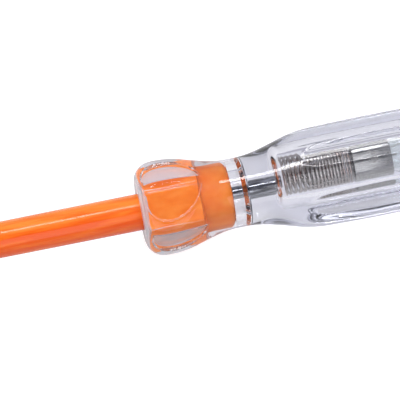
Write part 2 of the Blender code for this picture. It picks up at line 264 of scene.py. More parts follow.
def mixColours(tree, factor, first, second, blending="MIX"):
    inputs = {0: factor, 6: first, 7: second}
    return addNode(tree, "ShaderNodeMix", inputs, data_type="RGBA", blend_type=blending).outputs[2]


def mixShaders(tree, factor, first, second):
    inputs = {0: factor, 1: first.outputs[0], 2: second.outputs[0]}
    return addNode(tree, "ShaderNodeMixShader", inputs)


def withClearShadow(tree, shader, code):
    # lamplight goes on through the piece to what lies behind it, faintly tinted
    clearShadow = addNode(tree, "ShaderNodeBsdfTransparent", {"Color": colour(code)})
    isShadow = addNode(tree, "ShaderNodeLightPath").outputs["Is Shadow Ray"]
    return mixShaders(tree, isShadow, shader, clearShadow)


def endMaterial(tree, surface, volume=None):
    links = {"Surface": surface.outputs[0]}
    if volume:
        links["Volume"] = volume.outputs[0]
    addNode(tree, "ShaderNodeOutputMaterial", links)


# Clear handle plastic: polished mould, faint violet tint that deepens with thickness, slow moulding ripples
clearPlastic = dict(
    ior=1.49, roughness=0.015, base="F6F6F9", shadow="F4F4F9", tint="9EA4C6", tintDensity=21,
    rippleSize=3.2, rippleDepth=0.006, satinRoughness=0.3, satinClear=0.6,
)


def makeClearPlastic():
    look = clearPlastic
    material, tree, spots = startMaterial("clear moulded acrylic")
    ripple = noise(tree, stretched(tree, spots, look["rippleSize"] * 3, look["rippleSize"]), detail=1.0)
    satin = addNode(tree, "ShaderNodeAttribute", attribute_name="satin").outputs["Fac"]
    shader = addNode(
        tree,
        "ShaderNodeBsdfPrincipled",
        {
            "Base Color": colour(look["base"]),
            "Roughness": ranged(tree, satin, 0.0, 1.0, look["roughness"], look["satinRoughness"]),
            "IOR": look["ior"],
            "Transmission Weight": ranged(tree, satin, 0.0, 1.0, 1.0, look["satinClear"]),
            "Normal": bumped(tree, ripple, look["rippleDepth"]),
        },
    )
    surface = withClearShadow(tree, shader, look["shadow"])
    absorbed = {"Color": colour(look["tint"]), "Density": look["tintDensity"]}
    endMaterial(tree, surface, addNode(tree, "ShaderNodeVolumeAbsorption", absorbed))
    return material


# Lamp glass: thin, clear soft glass with slow waves from its drawing
lampGlass = dict(ior=1.51, roughness=0.01, base="F6FAF8", shadow="F2F5F3", waveDepth=0.004)


def makeLampGlass():
    look = lampGlass
    material, tree, spots = startMaterial("soft lamp glass")
    wave = noise(tree, stretched(tree, spots, 2.4, 1.1), detail=1.0)
    shader = addNode(
        tree,
        "ShaderNodeBsdfPrincipled",
        {
            "Base Color": colour(look["base"]),
            "Roughness": look["roughness"],
            "IOR": look["ior"],
            "Transmission Weight": 1.0,
            "Normal": bumped(tree, wave, look["waveDepth"]),
        },
    )
    endMaterial(tree, withClearShadow(tree, shader, look["shadow"]))
    return material


# Orange plastics: extruded sleeve with faint lengthwise draw lines and painted light on its far side,
# moulded bush with slow colour flow
def makeOrange(name, deep, mid, pale, roughness, lineLength, lineWidth, shine, paintedLightAmount=0.0):
    # paintedLightAmount paints the plastic paler on its far side than on its near one: painted light, as if
    # that side were lit more
    near, far = -1.5, 0.3  # mm across the tester, where the painted light starts and ends
    material, tree, spots = startMaterial(name)
    flow = noise(tree, stretched(tree, spots, lineLength, lineWidth), detail=3.0)
    grain = noise(tree, stretched(tree, spots, 0.25, 0.12), detail=2.0)
    across = addNode(tree, "ShaderNodeSeparateXYZ", {"Vector": spots}).outputs["Y"]
    paintedLightShift = ranged(tree, across, near * mm, far * mm, -paintedLightAmount / 2, paintedLightAmount / 2)
    share = calculate(tree, "ADD", flow, paintedLightShift)
    shader = addNode(
        tree,
        "ShaderNodeBsdfPrincipled",
        {
            "Base Color": ramp(tree, share, ((0.3, deep), (0.5, mid), (0.72, pale))),
            "Roughness": ranged(tree, flow, 0.3, 0.7, roughness - 0.05, roughness + 0.07),
            "IOR": 1.5,
            "Specular IOR Level": shine,
            "Subsurface Weight": 0.15,
            "Subsurface Radius": (0.9, 0.3, 0.1),
            "Subsurface Scale": 0.7 * mm,
            "Normal": bumped(tree, grain, 0.003),
        },
    )
    endMaterial(tree, shader)
    return material


# Metals: draw or turning lines, faint stains, rougher where they are worn
def makeMetal(name, dark, pale, roughness, lineLength, lineWidth, depth, stain="7A7168", stainShare=0.25):
    material, tree, spots = startMaterial(name)
    lines = noise(tree, stretched(tree, spots, lineLength, lineWidth), detail=4.0, rough=0.6)
    patches = noise(tree, stretched(tree, spots, 1.6, 1.2), detail=3.0)
    metal = ramp(tree, lines, ((0.32, dark), (0.68, pale)))
    stained = ranged(tree, patches, 0.52, 0.75, 0.0, stainShare)
    shader = addNode(
        tree,
        "ShaderNodeBsdfPrincipled",
        {
            "Base Color": mixColours(tree, stained, metal, colour(stain)),
            "Metallic": 1.0,
            "Roughness": ranged(tree, patches, 0.3, 0.7, roughness - 0.06, roughness + 0.1),
            "Normal": bumped(tree, lines, depth),
        },
    )
    endMaterial(tree, shader)
    return material


# Resistor: glazed ceramic with painted bands, slightly uneven at their edges
resistorPaint = dict(
    start=53.95, length=5.8, unevenness=0.03,
    bands=(
        (0.0, "D9C7A2"), (0.24, "6B3A1C"), (0.31, "D9C7A2"), (0.38, "1E1D1C"), (0.45, "D9C7A2"),
        (0.52, "D3B31F"), (0.59, "D9C7A2"), (0.70, "B08D3C"), (0.77, "D9C7A2"),
    ),
)


def makeResistorLook():
    paint = resistorPaint
    material, tree, spots = startMaterial("glazed ceramic with painted bands")
    uneven = noise(tree, stretched(tree, spots, 1.5, 1.5), detail=2.0)
    along = addNode(tree, "ShaderNodeSeparateXYZ", {"Vector": spots}).outputs["X"]
    start = (guardFront + paint["start"]) * mm
    share = ranged(tree, along, start, start + paint["length"] * mm, 0.0, 1.0)
    wobble = calculate(tree, "SUBTRACT", uneven, 0.5)
    shifted = calculate(tree, "MULTIPLY_ADD", wobble, paint["unevenness"], share)
    grain = noise(tree, stretched(tree, spots, 0.3, 0.3), detail=2.0)
    shader = addNode(
        tree,
        "ShaderNodeBsdfPrincipled",
        {
            "Base Color": ramp(tree, shifted, paint["bands"], "CONSTANT"),
            "Roughness": ranged(tree, grain, 0.3, 0.7, 0.22, 0.34),
            "Normal": bumped(tree, grain, 0.004),
        },
    )
    endMaterial(tree, shader)
    return material


resistorLook = makeResistorLook()
clearPlasticLook = makeClearPlastic()
lampGlassLook = makeLampGlass()
# the sleeve's far side is painted paler: painted light, not a colour of the plastic
sleeveLook = makeOrange("extruded orange PVC", "E4560A", "EE6E18", "F8882C", 0.12, 9, 0.9, 0.4, paintedLightAmount=0.36)
bushLook = makeOrange("moulded orange polypropylene", "F47A26", "FA8832", "FF9840", 0.4, 2.6, 1.6, 0.1)
bladeLook = makeMetal("nickel-plated tool steel", "3E3F44", "B9BBC0", 0.16, 3.0, 0.22, 0.004)
springLook = makeMetal(
    "drawn spring steel", "6E6862", "DAD6D0", 0.18, 0.6, 0.08, 0.004, stain="8A5A44", stainShare=0.7
)
capLook = makeMetal("tin-plated steel", "8A8B87", "BABAB5", 0.2, 2.2, 0.1, 0.004)
wireLook = makeMetal("nickel wire", "8F8E8C", "C9C8C4", 0.3, 0.8, 0.06, 0.002)
discLook = makeMetal("stamped brass", "B08B4E", "DDBB79", 0.28, 0.3, 0.3, 0.003, stain="7D5B30")
touchCapLook = makeMetal("nickel-plated brass", "B5B0A6", "DEDAD2", 0.18, 0.12, 1.5, 0.003, stain="9C8B66")
print("materials made")


# Clear handle: one skin, drawn out along the outside and back through the socket, bore and bush pocket
handleSizes = dict(
    segments=360, frontFace=0.4, noseRadius=4.5, guardRadius=7.06, guardCrest=3.6, guardEnd=13.0,
    waistRadius=5.12, waistStart=14.1, waistEnd=15.2, flareLength=12.2, shoulderRadius=7.4,
    bodyRadius=7.6, swellStart=24.0, swellLength=11.0, tailStart=61.0, tailLength=11.5, tailRadius=6.4,
    length=74.0, endRound=1.2, rearFaceRadius=5.6,
    guardStep=0.12, flareStep=0.26, bodyRings=(35, 40, 46, 52, 57), skinFloor=4.45,
    flatDistance=6.18, guardTurn=5.0, cornerRound=0.5,
    windowDepth=0.35, windowFront=1.2, windowLength=8.35, windowHeight=4.75, windowInset=0.9,
    windowLean=1.1, windowWall=0.2, windowEdgeRound=0.15, windowSides=(-1, -1, 1, -1, -1, 1),
    windowSatin=2.2, frontSatin=0.9, windowGaps=(0.4, 0, 0.75, 0, 0.6, 0),
    grooveStart=17.0, grooveTurn=30.0, grooveFloor=7.0, grooveHalfAngle=15.0, grooveEdgeRound=0.12,
    holeRadius=2.82, pocketFront=1.1, pocketRadius=3.24,
    airPocketEnd=16.3, airPocketRound=0.15, airRimRise=0.6, airRimWidth=0.3,
    bushEnd=13.8, bushRound=0.9, bushGap=0.01, bushRoundFrom=15,
    collarEnd=8.9, collarSlope=0.2, collarRadius=5.59, collarFlat=4.84, collarRound=0.25, collarBand=0.12,
    rodHoleRadius=0.93, boreFront=20.7, boreRadius=3.3, boreRound=1.6, boreRings=(52, 36),
    socketFront=66.15, socketRadius=4.0, chamfer=0.3, holdingGap=0.06,
)
halfFlat = handleSizes["flatDistance"] * math.tan(math.radians(sixth / 2))  # half a flat's width
tiny = 1e-6  # keeps divisions by a distance off zero


def handleRadius(along):
    size = handleSizes
    crest, guard = size["guardCrest"], size["guardRadius"]
    waist, body = size["waistRadius"], size["bodyRadius"]
    forward = np.clip((crest - along) / (crest - size["frontFace"]), 0, 1)
    nose = size["noseRadius"] + (guard - size["noseRadius"]) * np.sqrt(1 - forward**2)
    radius = np.where(along < crest, nose, guard)
    radius = radius - (guard - waist) * ease((along - crest) / (size["waistStart"] - crest))
    flare = ease((along - size["waistEnd"]) / size["flareLength"])
    radius = radius + (size["shoulderRadius"] - waist) * flare
    swell = ease((along - size["swellStart"]) / size["swellLength"])
    radius = radius + (body - size["shoulderRadius"]) * swell
    return radius - (body - size["tailRadius"]) * ease((along - size["tailStart"]) / size["tailLength"])


def windowShare(along, across, side):
    # 1 on a window's floor, 0 outside its D, and a short slope between them
    size = handleSizes
    half = size["windowLength"] / 2
    height = (side * across - (size["windowInset"] - halfFlat)) / size["windowHeight"]
    lengthwise = (along - size["windowFront"] - half + size["windowLean"] * height) / half
    reach = np.sqrt(lengthwise**2 + height**2) + tiny
    slopeAlong = lengthwise / (half * reach)
    slopeAcross = (lengthwise * size["windowLean"] / half + height) / (size["windowHeight"] * reach)
    outsideArc = (reach - 1) / np.sqrt(slopeAlong**2 + slopeAcross**2 + tiny / 1000)
    outside = np.maximum(outsideArc, -height * size["windowHeight"])
    return 1 - ease(outside / size["windowWall"] + 0.5)


def pressCollar(points, size):
    # the bush's collar has six flats that lie under the guard's
    _, y, z, radius = splitPoints(points)
    _, lean = nearestSixth(y, z, handleSizes["guardTurn"])
    pressed = softMin(radius, size["collarFlat"] / np.cos(lean), handleSizes["collarRound"])
    collar = np.abs(radius - size["collarRadius"]) < handleSizes["collarBand"]
    return scaleAcross(points, y, z, np.where(collar, pressed / np.maximum(radius, tiny), 1))


def pressSkin(points):
    # presses the flats, windows and grooves into the turned skin
    size = handleSizes
    along, y, z, radius = splitPoints(points)
    outer = radius > size["skinFloor"]
    wanted = np.minimum(handleRadius(along), radius)

    number, lean = nearestSixth(y, z, size["guardTurn"])
    side = np.array(size["windowSides"])[number]
    across = size["flatDistance"] * np.tan(lean)
    guard = along < size["guardEnd"]
    share = np.where(guard & outer, windowShare(along, across, side), 0)
    pressed = softMin(wanted, size["flatDistance"] / np.cos(lean), size["cornerRound"])
    window = (size["flatDistance"] - size["windowDepth"] * share) / np.cos(lean)
    sunk = np.minimum(pressed, softMin(wanted, window, size["windowEdgeRound"]))
    pressed = np.where(guard, np.where(share > 0, sunk, pressed), wanted)

    # each groove is the path of a round bar, as wide at the body's skin as grooveHalfAngle says
    halfAngle = math.radians(size["grooveHalfAngle"])
    halfWidth = size["bodyRadius"] * math.sin(halfAngle)
    rise = size["bodyRadius"] * math.cos(halfAngle) - size["grooveFloor"]
    barRadius = (halfWidth**2 + rise**2) / (2 * rise)
    barDistance = size["grooveFloor"] + barRadius
    _, offset = nearestSixth(y, z, size["grooveTurn"])
    inside = np.maximum(barRadius**2 - (barDistance * np.sin(offset)) ** 2, 0)
    groove = np.where(inside > 0, barDistance * np.cos(offset) - np.sqrt(inside), np.inf)
    grooved = softMin(pressed, groove, size["grooveEdgeRound"])
    pressed = np.where(along > size["grooveStart"], grooved, pressed)
    return scaleAcross(points, y, z, np.where(outer, pressed / np.maximum(radius, tiny), 1)), share


def markSatin(piece, values):
    # how satin the clear plastic is at each point
    marks = piece.data.attributes.new("satin", "FLOAT", "POINT")
    marks.data.foreach_set("value", values)


# Under three of the windows the bush stands off the clear plastic: a thin D-shaped air gap with satin sides,
# which turns into a pale mirror where it is seen aslant
windowGapSizes = dict(depth=0.25, thickness=0.06, slope=6.0, inset=0.25, points=72, merge=0.002)


def foldCircle(x, y):
    # the lower half of a unit circle is folded up into the D's straight side
    if y > 0:
        return x, y
    return math.copysign(1 - abs(math.asin(y)) * 2 / math.pi, x), 0


def addWindowGaps(handle):
    size, gap = handleSizes, windowGapSizes
    half = size["windowLength"] / 2 - gap["inset"]
    height = size["windowHeight"] - 2 * gap["inset"]
    flatSide = size["windowInset"] + gap["inset"] - halfFlat
    slope = math.tan(math.radians(gap["slope"]))
    middle = place(size["windowFront"] + size["windowLength"] / 2)
    shells = []
    for i in np.flatnonzero(size["windowGaps"]):
        turn = math.radians(size["guardTurn"] + sixth * i)
        outward = Vector((0, -math.cos(turn), math.sin(turn)))
        across = Vector((0, math.sin(turn), math.cos(turn))) * size["windowSides"][i]
        bpy.ops.object.select_all(action="DESELECT")
        bpy.ops.mesh.primitive_circle_add(vertices=gap["points"], radius=1, fill_type="NGON")
        shell = bpy.context.object
        for vertex in shell.data.vertices:
            reach, share = foldCircle(vertex.co.x, vertex.co.y)
            run = half * reach - size["windowLean"] * share
            rise = flatSide + height * share
            away = size["flatDistance"] - size["windowDepth"] - gap["depth"] - slope * height * share
            vertex.co = middle + Vector((run * mm, 0, 0)) + across * rise * mm + outward * away * mm
        bpy.ops.object.mode_set(mode="EDIT")
        bpy.ops.mesh.select_all(action="SELECT")
        bpy.ops.mesh.remove_doubles(threshold=gap["merge"] * mm)
        bpy.ops.mesh.select_all(action="SELECT")
        bpy.ops.mesh.extrude_region_move(TRANSFORM_OT_translate={"value": -outward * gap["thickness"] * mm})
        bpy.ops.mesh.select_all(action="SELECT")
        bpy.ops.mesh.normals_make_consistent(inside=True)
        bpy.ops.object.mode_set(mode="OBJECT")
        markSatin(shell, [size["windowGaps"][i]] * len(shell.data.vertices))
        shells.append(shell)
    selectOnly(handle)
    for shell in shells:
        shell.select_set(True)
    bpy.ops.object.join()


def outsideStations():
    size = handleSizes
    crest, noseLength = size["guardCrest"], size["guardCrest"] - size["frontFace"]
    flareEnd = size["swellStart"] + size["swellLength"]
    roundStart = size["length"] - size["endRound"]
    places = [crest - noseLength * math.cos(angle) for angle in quarterTurn(30)[:-1]]
    places += list(np.arange(crest, size["guardEnd"], size["guardStep"]))
    places += list(np.arange(size["guardEnd"], flareEnd, size["flareStep"]))
    places += size["bodyRings"]
    places += list(np.linspace(size["tailStart"], roundStart, 20))
    stations = [(along, float(handleRadius(np.array(along)))) for along in places]
    rearFace = size["rearFaceRadius"]
    drop = stations[-1][1] - rearFace
    for angle in quarterTurn(8)[1:]:
        stations.append((roundStart + size["endRound"] * math.sin(angle), rearFace + drop * math.cos(angle)))
    return stations


def insideStations():
    # from the socket's mouth forward to the nose
    size = handleSizes
    socket, chamfer = size["socketRadius"], size["chamfer"]
    bore, rod = size["boreRadius"], size["rodHoleRadius"]
    pocket, collar, gap = size["pocketRadius"], size["collarRadius"], size["holdingGap"]
    boreRound, bushRound, airRound = size["boreRound"], size["bushRound"], size["airPocketRound"]
    airEnd, rim = size["airPocketEnd"], size["pocketRadius"] + size["airRimRise"]
    rimFront = airEnd - size["airRimWidth"]
    slopeFront = rimFront - size["airRimRise"]
    boreStations = [(size["socketFront"], bore)] + [(along, bore) for along in size["boreRings"]]
    for angle in quarterTurn(8):
        along = size["boreFront"] + boreRound * (1 - math.sin(angle))
        boreStations.append((along, bore - boreRound * (1 - math.cos(angle))))
    bushStations = []
    for angle in quarterTurn(6, size["bushRoundFrom"]):
        along = size["bushEnd"] - bushRound * (1 - math.cos(angle)) - size["bushGap"]
        bushStations.append((along, pocket - bushRound * (1 - math.sin(angle))))
    return [
        (size["length"], socket + chamfer),
        (size["length"] - chamfer, socket),
        (size["socketFront"], socket),
        *onAxis(boreStations, boreAxis),
        (size["boreFront"], rod),
        (airEnd, rod),
        (airEnd, rod + gap),
        (airEnd, rim - airRound - gap),
        (airEnd, rim - airRound),
        (airEnd - airRound, rim),
        (rimFront, rim),
        (slopeFront, pocket),
        (slopeFront - gap, pocket),
        (size["bushEnd"], pocket),
        *bushStations,
        (size["collarEnd"] + size["collarSlope"], pocket),
        (size["collarEnd"], collar),
        (size["pocketFront"], collar),
        (size["pocketFront"], size["holeRadius"]),
        (size["frontFace"], size["holeRadius"]),
        (size["frontFace"], size["noseRadius"]),
    ]


def makeHandle():
    size = handleSizes
    handle = drawOut("clearHandle", outsideStations() + insideStations(), size["segments"], hollow=True)
    points = pointsOf(handle)
    along, _, _, radius = splitPoints(points)
    near = 0.01  # mm from a station's place
    inward = radius < size["collarRadius"] + near
    frontWall = inward & (along < size["pocketFront"] + near)
    pocket = inward & (along > size["pocketFront"] - near) & (along < size["collarEnd"] + near)
    collar = pressCollar(points.copy(), size)
    points, share = pressSkin(points)
    points[pocket] = collar[pocket]
    movePoints(handle, points)
    wallSatin = np.where(frontWall, size["frontSatin"], 0.0)
    markSatin(handle, np.maximum(wallSatin, size["windowSatin"] * share * (1 - share)))
    addWindowGaps(handle)
    return finishPiece(handle, clearPlasticLook, "handle_body", "handle", above=40)


makeHandle()
print("handle made")

# Blade: round shank with two ground faces at the tip, and the thin rod behind it
bladeSizes = dict(
    reach=62.0, shankRadius=1.5, tipThickness=0.5, tipFlat=1.6, tipTaper=8.5, middle=-30.0, shankEnd=12.8,
    rodRadius=0.95, rodEnd=21.4, rodChamfer=0.2,
)


def makeBlade():
    size = bladeSizes
    shank, rod, chamfer = size["shankRadius"], size["rodRadius"], size["rodChamfer"]
    taperEnd = size["tipFlat"] + size["tipTaper"]
    stations = [(-size["reach"], shank)]
    stations += [(-size["reach"] + along, shank) for along in np.linspace(size["tipFlat"], taperEnd, 24)]
    stations += [
        (size["middle"], shank),
        (size["shankEnd"], shank),
        (size["shankEnd"], rod),
        (size["rodEnd"] - chamfer, rod),
        (size["rodEnd"], rod - chamfer),
    ]
    blade = drawOut("steelBlade", stations, 96)
    points = pointsOf(blade)
    along, _, rise, _ = splitPoints(points)
    behindTip = along + size["reach"]
    share = np.clip((behindTip - size["tipFlat"]) / size["tipTaper"], 0, 1)
    half = size["tipThickness"] / 2 + (shank - size["tipThickness"] / 2) * share**2
    rise = np.where(behindTip < taperEnd, np.clip(rise, -half, half), rise)
    points[:, 2] = handleAxis.z + rise * mm
    movePoints(blade, points)
    return finishPiece(blade, bladeLook, "handle_body", "blade", above=30)


# Sleeve and bush: orange plastic round the blade, the bush filling its pocket in the clear plastic
sleeveSizes = dict(front=-52.5, middle=-25.0, end=1.2, tipRadius=2.55, radius=2.7, holeRadius=1.52, edge=0.3)
bushSizes = dict(
    front=1.4, collarEdge=0.08, collarEnd=8.9, collarSlope=0.2, collarRadius=5.6, collarFlat=4.85,
    end=13.8, radius=3.25, endRound=0.9, holeRadius=1.51, rodHoleLength=1.0, rodHoleRadius=0.96,
)


def makeSleeve():
    size = sleeveSizes
    stations = [
        (size["front"], size["holeRadius"]),
        (size["front"], size["tipRadius"]),
        (size["middle"], (size["tipRadius"] + size["radius"]) / 2),
        (size["end"], size["radius"]),
        (size["end"], size["holeRadius"]),
        (size["front"], size["holeRadius"]),
    ]
    sleeve = drawOut("orangeSleeve", stations, 96, hollow=True)
    roundEdges(sleeve, size["edge"])
    return finishPiece(sleeve, sleeveLook, "handle_body", "insulating_sleeve")


def makeBush():
    size = bushSizes
    endRound, rodHoleFront = size["endRound"], size["end"] - size["rodHoleLength"]
    stations = [
        (size["front"], size["holeRadius"]),
        (size["front"], size["collarRadius"] - size["collarEdge"]),
        (size["front"] + size["collarEdge"], size["collarRadius"]),
        (size["collarEnd"], size["collarRadius"]),
        (size["collarEnd"] + size["collarSlope"], size["radius"]),
    ]
    for angle in quarterTurn(8):
        along = size["end"] - endRound * (1 - math.sin(angle))
        stations.append((along, size["radius"] - endRound * (1 - math.cos(angle))))
    stations += [
        (size["end"], size["rodHoleRadius"]),
        (rodHoleFront, size["rodHoleRadius"]),
        (rodHoleFront, size["holeRadius"]),
        (size["front"], size["holeRadius"]),
    ]
    bush = drawOut("orangeBush", stations, 180, hollow=True)
    movePoints(bush, pressCollar(pointsOf(bush), size))
    return finishPiece(bush, bushLook, "handle_body", "nose_bush")


makeBlade()
makeSleeve()
makeBush()
print("blade, sleeve and bush made")

# Springs: wound wire, open at one end and close-wound at the other
frontSpringSizes = dict(
    start=21.7, end=31.75, radius=3.0, wire=0.21, openTurns=4.5, turns=17.5, openPitch=0.82, closePitch=0.56,
)
rearSpringSizes = dict(
    start=60.65, end=66.15, radius=2.4, wire=0.21, openTurns=4.0, turns=7.0, openPitch=1.02, closePitch=0.45,
)
winding = dict(knotsPerTurn=48, openingTurns=0.6, closingTurns=3.0, roundness=3)


def makeSpring(name, size, node):
    # The wire opens over its first half turn, and eases to close coils after openTurns
    wire, closePitch = size["wire"], size["closePitch"]
    count = int(size["turns"] * winding["knotsPerTurn"])
    turns = np.linspace(0, size["turns"], count)
    openness = 1 - ease((turns - size["openTurns"]) / winding["closingTurns"])
    openness *= ease(turns / winding["openingTurns"])
    pitch = closePitch + (size["openPitch"] - closePitch) * openness
    along = np.concatenate([[0], np.cumsum((pitch[1:] + pitch[:-1]) / 2 * np.diff(turns))])
    along = size["start"] + wire + along * (size["end"] - size["start"] - 2 * wire) / along[-1]
    curve = bpy.data.curves.new(name, "CURVE")
    curve.dimensions = "3D"
    curve.bevel_depth = wire * mm
    curve.bevel_resolution = winding["roundness"]
    curve.use_fill_caps = True
    line = curve.splines.new("POLY")
    line.points.add(count - 1)
    for knot, spot, turn in zip(line.points, along, turns):
        point = place(spot, boreAxis)
        angle = 2 * math.pi * turn
        point.y += (size["radius"] - wire) * math.cos(angle) * mm
        point.z += (size["radius"] - wire) * math.sin(angle) * mm
        knot.co = (*point, 1)
    spring = bpy.data.objects.new(name, curve)
    bpy.context.scene.collection.objects.link(spring)
    selectOnly(spring)
    bpy.ops.object.convert(target="MESH")
    spring = bpy.context.object
    spring.name = spring.data.name = name
    finishPiece(spring, springLook, None, node, above=50)
    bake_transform(spring)
    return spring


makeSpring("frontSpring", frontSpringSizes, "front_contact_spring")
makeSpring("rearSpring", rearSpringSizes, "rear_contact_spring")
print("springs wound")

# Neon lamp: two drawn end caps, a glass tube and two electrodes
lampSizes = dict(
    start=32.05, end=53.05,
    capRadius=3.0, capLength=5.7, wall=0.25, floor=0.4, capEdge=0.25 / 3, segments=96,
    glassGap=0.05, glassRadius=2.9, neckRadius=2.45, neckPast=0.3, glassWall=0.5, shoulder=0.8,
    glassHole=0.5, glassEdge=0.3,
    leadRadius=0.2, leadGap=0.3, spread=0.9, overlap=3.4, crank=0.9,
    electrodeRadius=0.4, rodGap=0.35, rodEdge=0.1, rodRounding=0.25,
)


def makeEndCap(name, node, start, way, size):
    # a drawn metal cup on the bore's axis, for the lamp or the resistor
    radius, inner = size["capRadius"], size["capRadius"] - size["wall"]
    mouth = start + way * size["capLength"]
    stations = [(start, radius), (mouth, radius), (mouth, inner), (start + way * size["floor"], inner)]
    cap = drawOut(name, onAxis(stations, boreAxis), size["segments"])
    roundEdges(cap, size["capEdge"])
    return finishPiece(cap, capLook, "lamp_stack", node)


def makeLampGlassTube():
    size = lampSizes
    inset = size["floor"] + size["glassGap"]
    start, end = size["start"] + inset, size["end"] - inset
    neckEnd = start + size["capLength"] - inset + size["neckPast"]
    shoulderEnd = neckEnd + size["shoulder"]
    hole, wall, neck, radius = size["glassHole"], size["glassWall"], size["neckRadius"], size["glassRadius"]
    outer = [(start, hole), (start, neck - wall), (start + wall, neck)]
    outer += [(neckEnd, neck), (shoulderEnd, radius)]
    inner = [
        (shoulderEnd, radius - wall),
        (neckEnd, neck - wall),
        (start + 3 * wall, neck - wall),
        (start + 2 * wall, hole),
    ]
    stations = outer + mirrored(outer, start, end) + mirrored(inner, start, end) + inner + outer[:1]
    glass = drawOut("lampGlass", onAxis(stations, boreAxis), 96, hollow=True)
    roundEdges(glass, size["glassEdge"], above=20)
    return finishPiece(glass, lampGlassLook, "lamp_stack", "lamp_glass")


def makeElectrode(name, node, way):
    # it starts as a thin lead on the lamp's axis, cranks over and ends in a thicker rod beside the other
    size = lampSizes
    lead, rod, edge = size["leadRadius"], size["electrodeRadius"], size["rodEdge"]
    middle = (size["start"] + size["end"]) / 2
    leadStart = middle - size["start"] - size["floor"] - size["leadGap"]
    crankEnd = size["overlap"] / 2 + size["crank"]
    rodStart = crankEnd - size["rodGap"]
    side = boreAxis + Vector((0, -way * size["spread"] * mm, 0))
    stations = onAxis([(leadStart, lead), (crankEnd + size["crank"], lead)], boreAxis)
    stations += onAxis([(crankEnd, lead), (rodStart, lead), (rodStart - edge, rod - 0.8 * edge)], side)
    stations += onAxis([(rodStart - size["rodRounding"], rod), (edge - size["overlap"] / 2, rod)], side)
    stations.append((-size["overlap"] / 2, rod - edge, side))
    stations = [(middle + way * along, radius, axis) for along, radius, axis in stations]
    electrode = drawOut(name, stations, 32)
    return finishPiece(electrode, wireLook, "lamp_stack", node)


makeEndCap("lampFrontCap", "lamp_front_cap", lampSizes["start"], 1, lampSizes)
makeEndCap("lampRearCap", "lamp_rear_cap", lampSizes["end"], -1, lampSizes)
makeLampGlassTube()
makeElectrode("frontElectrode", "lamp_front_electrode", -1)
makeElectrode("rearElectrode", "lamp_rear_electrode", 1)
print("lamp made")

# Series resistor: a ceramic barrel with pressed caps
resistorSizes = dict(
    start=53.35, end=60.35, capRadius=2.7, capLength=1.7, wall=0.3, floor=0.3, capEdge=0.09, segments=80,
    bodyInset=0.6, bodyRadius=2.1, bodyEdge=0.2, shoulder=1.5, waist=2.1, waistDepth=0.12,
)


def makeResistorBody():
    size = resistorSizes
    start, end = size["start"] + size["bodyInset"], size["end"] - size["bodyInset"]
    radius = size["bodyRadius"]
    rear = [(end - size["waist"], radius - size["waistDepth"]), (end - size["shoulder"], radius)]
    rear += rearCorner(end, radius, size["bodyEdge"])
    stations = onAxis(mirrored(rear, start, end) + rear, boreAxis)
    body = drawOut("resistorBody", stations, 64)
    return finishPiece(body, resistorLook, "lamp_stack", "resistor_body")


makeResistorBody()
makeEndCap("resistorFrontCap", "resistor_front_cap", resistorSizes["start"], 1, resistorSizes)
makeEndCap("resistorRearCap", "resistor_rear_cap", resistorSizes["end"], -1, resistorSizes)
print("resistor made")

# Contact disc: stamped brass with a raised middle
discSizes = dict(
    start=66.45, end=67.25, radius=3.7, edge=0.2,
    dishRadius=2.2, dishDepth=0.15, dishRound=0.3, dishSlope=0.25,
)


def makeDisc():
    size = discSizes
    dish, front = size["dishRadius"], size["start"] + size["dishDepth"]
    stations = [
        (size["start"], dish - size["dishRound"]),
        (size["start"], dish),
        (front, dish + size["dishSlope"]),
        *mirrored(rearCorner(front, size["radius"], size["edge"]), front, front),
        *rearCorner(size["end"], size["radius"], size["edge"]),
    ]
    disc = drawOut("contactDisc", stations, 96)
    return finishPiece(disc, discLook, "plunger", "contact_disc", above=25)


makeDisc()
print("disc made")

# Touch cap: ribbed head, dished face and a threaded stem
touchCapSizes = dict(
    stemStart=67.55, seat=74.3, end=78.3, threadStep=0.0833, headStep=0.25,
    stemRadius=3.7, undercut=0.5,
    pitch=1.0, threadDepth=0.45, threadCrest=0.2, threadFlank=0.6, threadFrom=0.4,
    headRadius=4.5, edge=0.5, lip=0.25, lipRise=0.08, lipInset=0.15,
    ribs=24, ribDepth=0.25, ribFoot=0.25, ribFlank=0.6, ribMargin=0.1, frontRunOut=0.3, rearRunOut=0.5,
    dishRadius=3.0, dishDepth=0.12, dishSlope=0.2, dishMiddle=0.4,
)


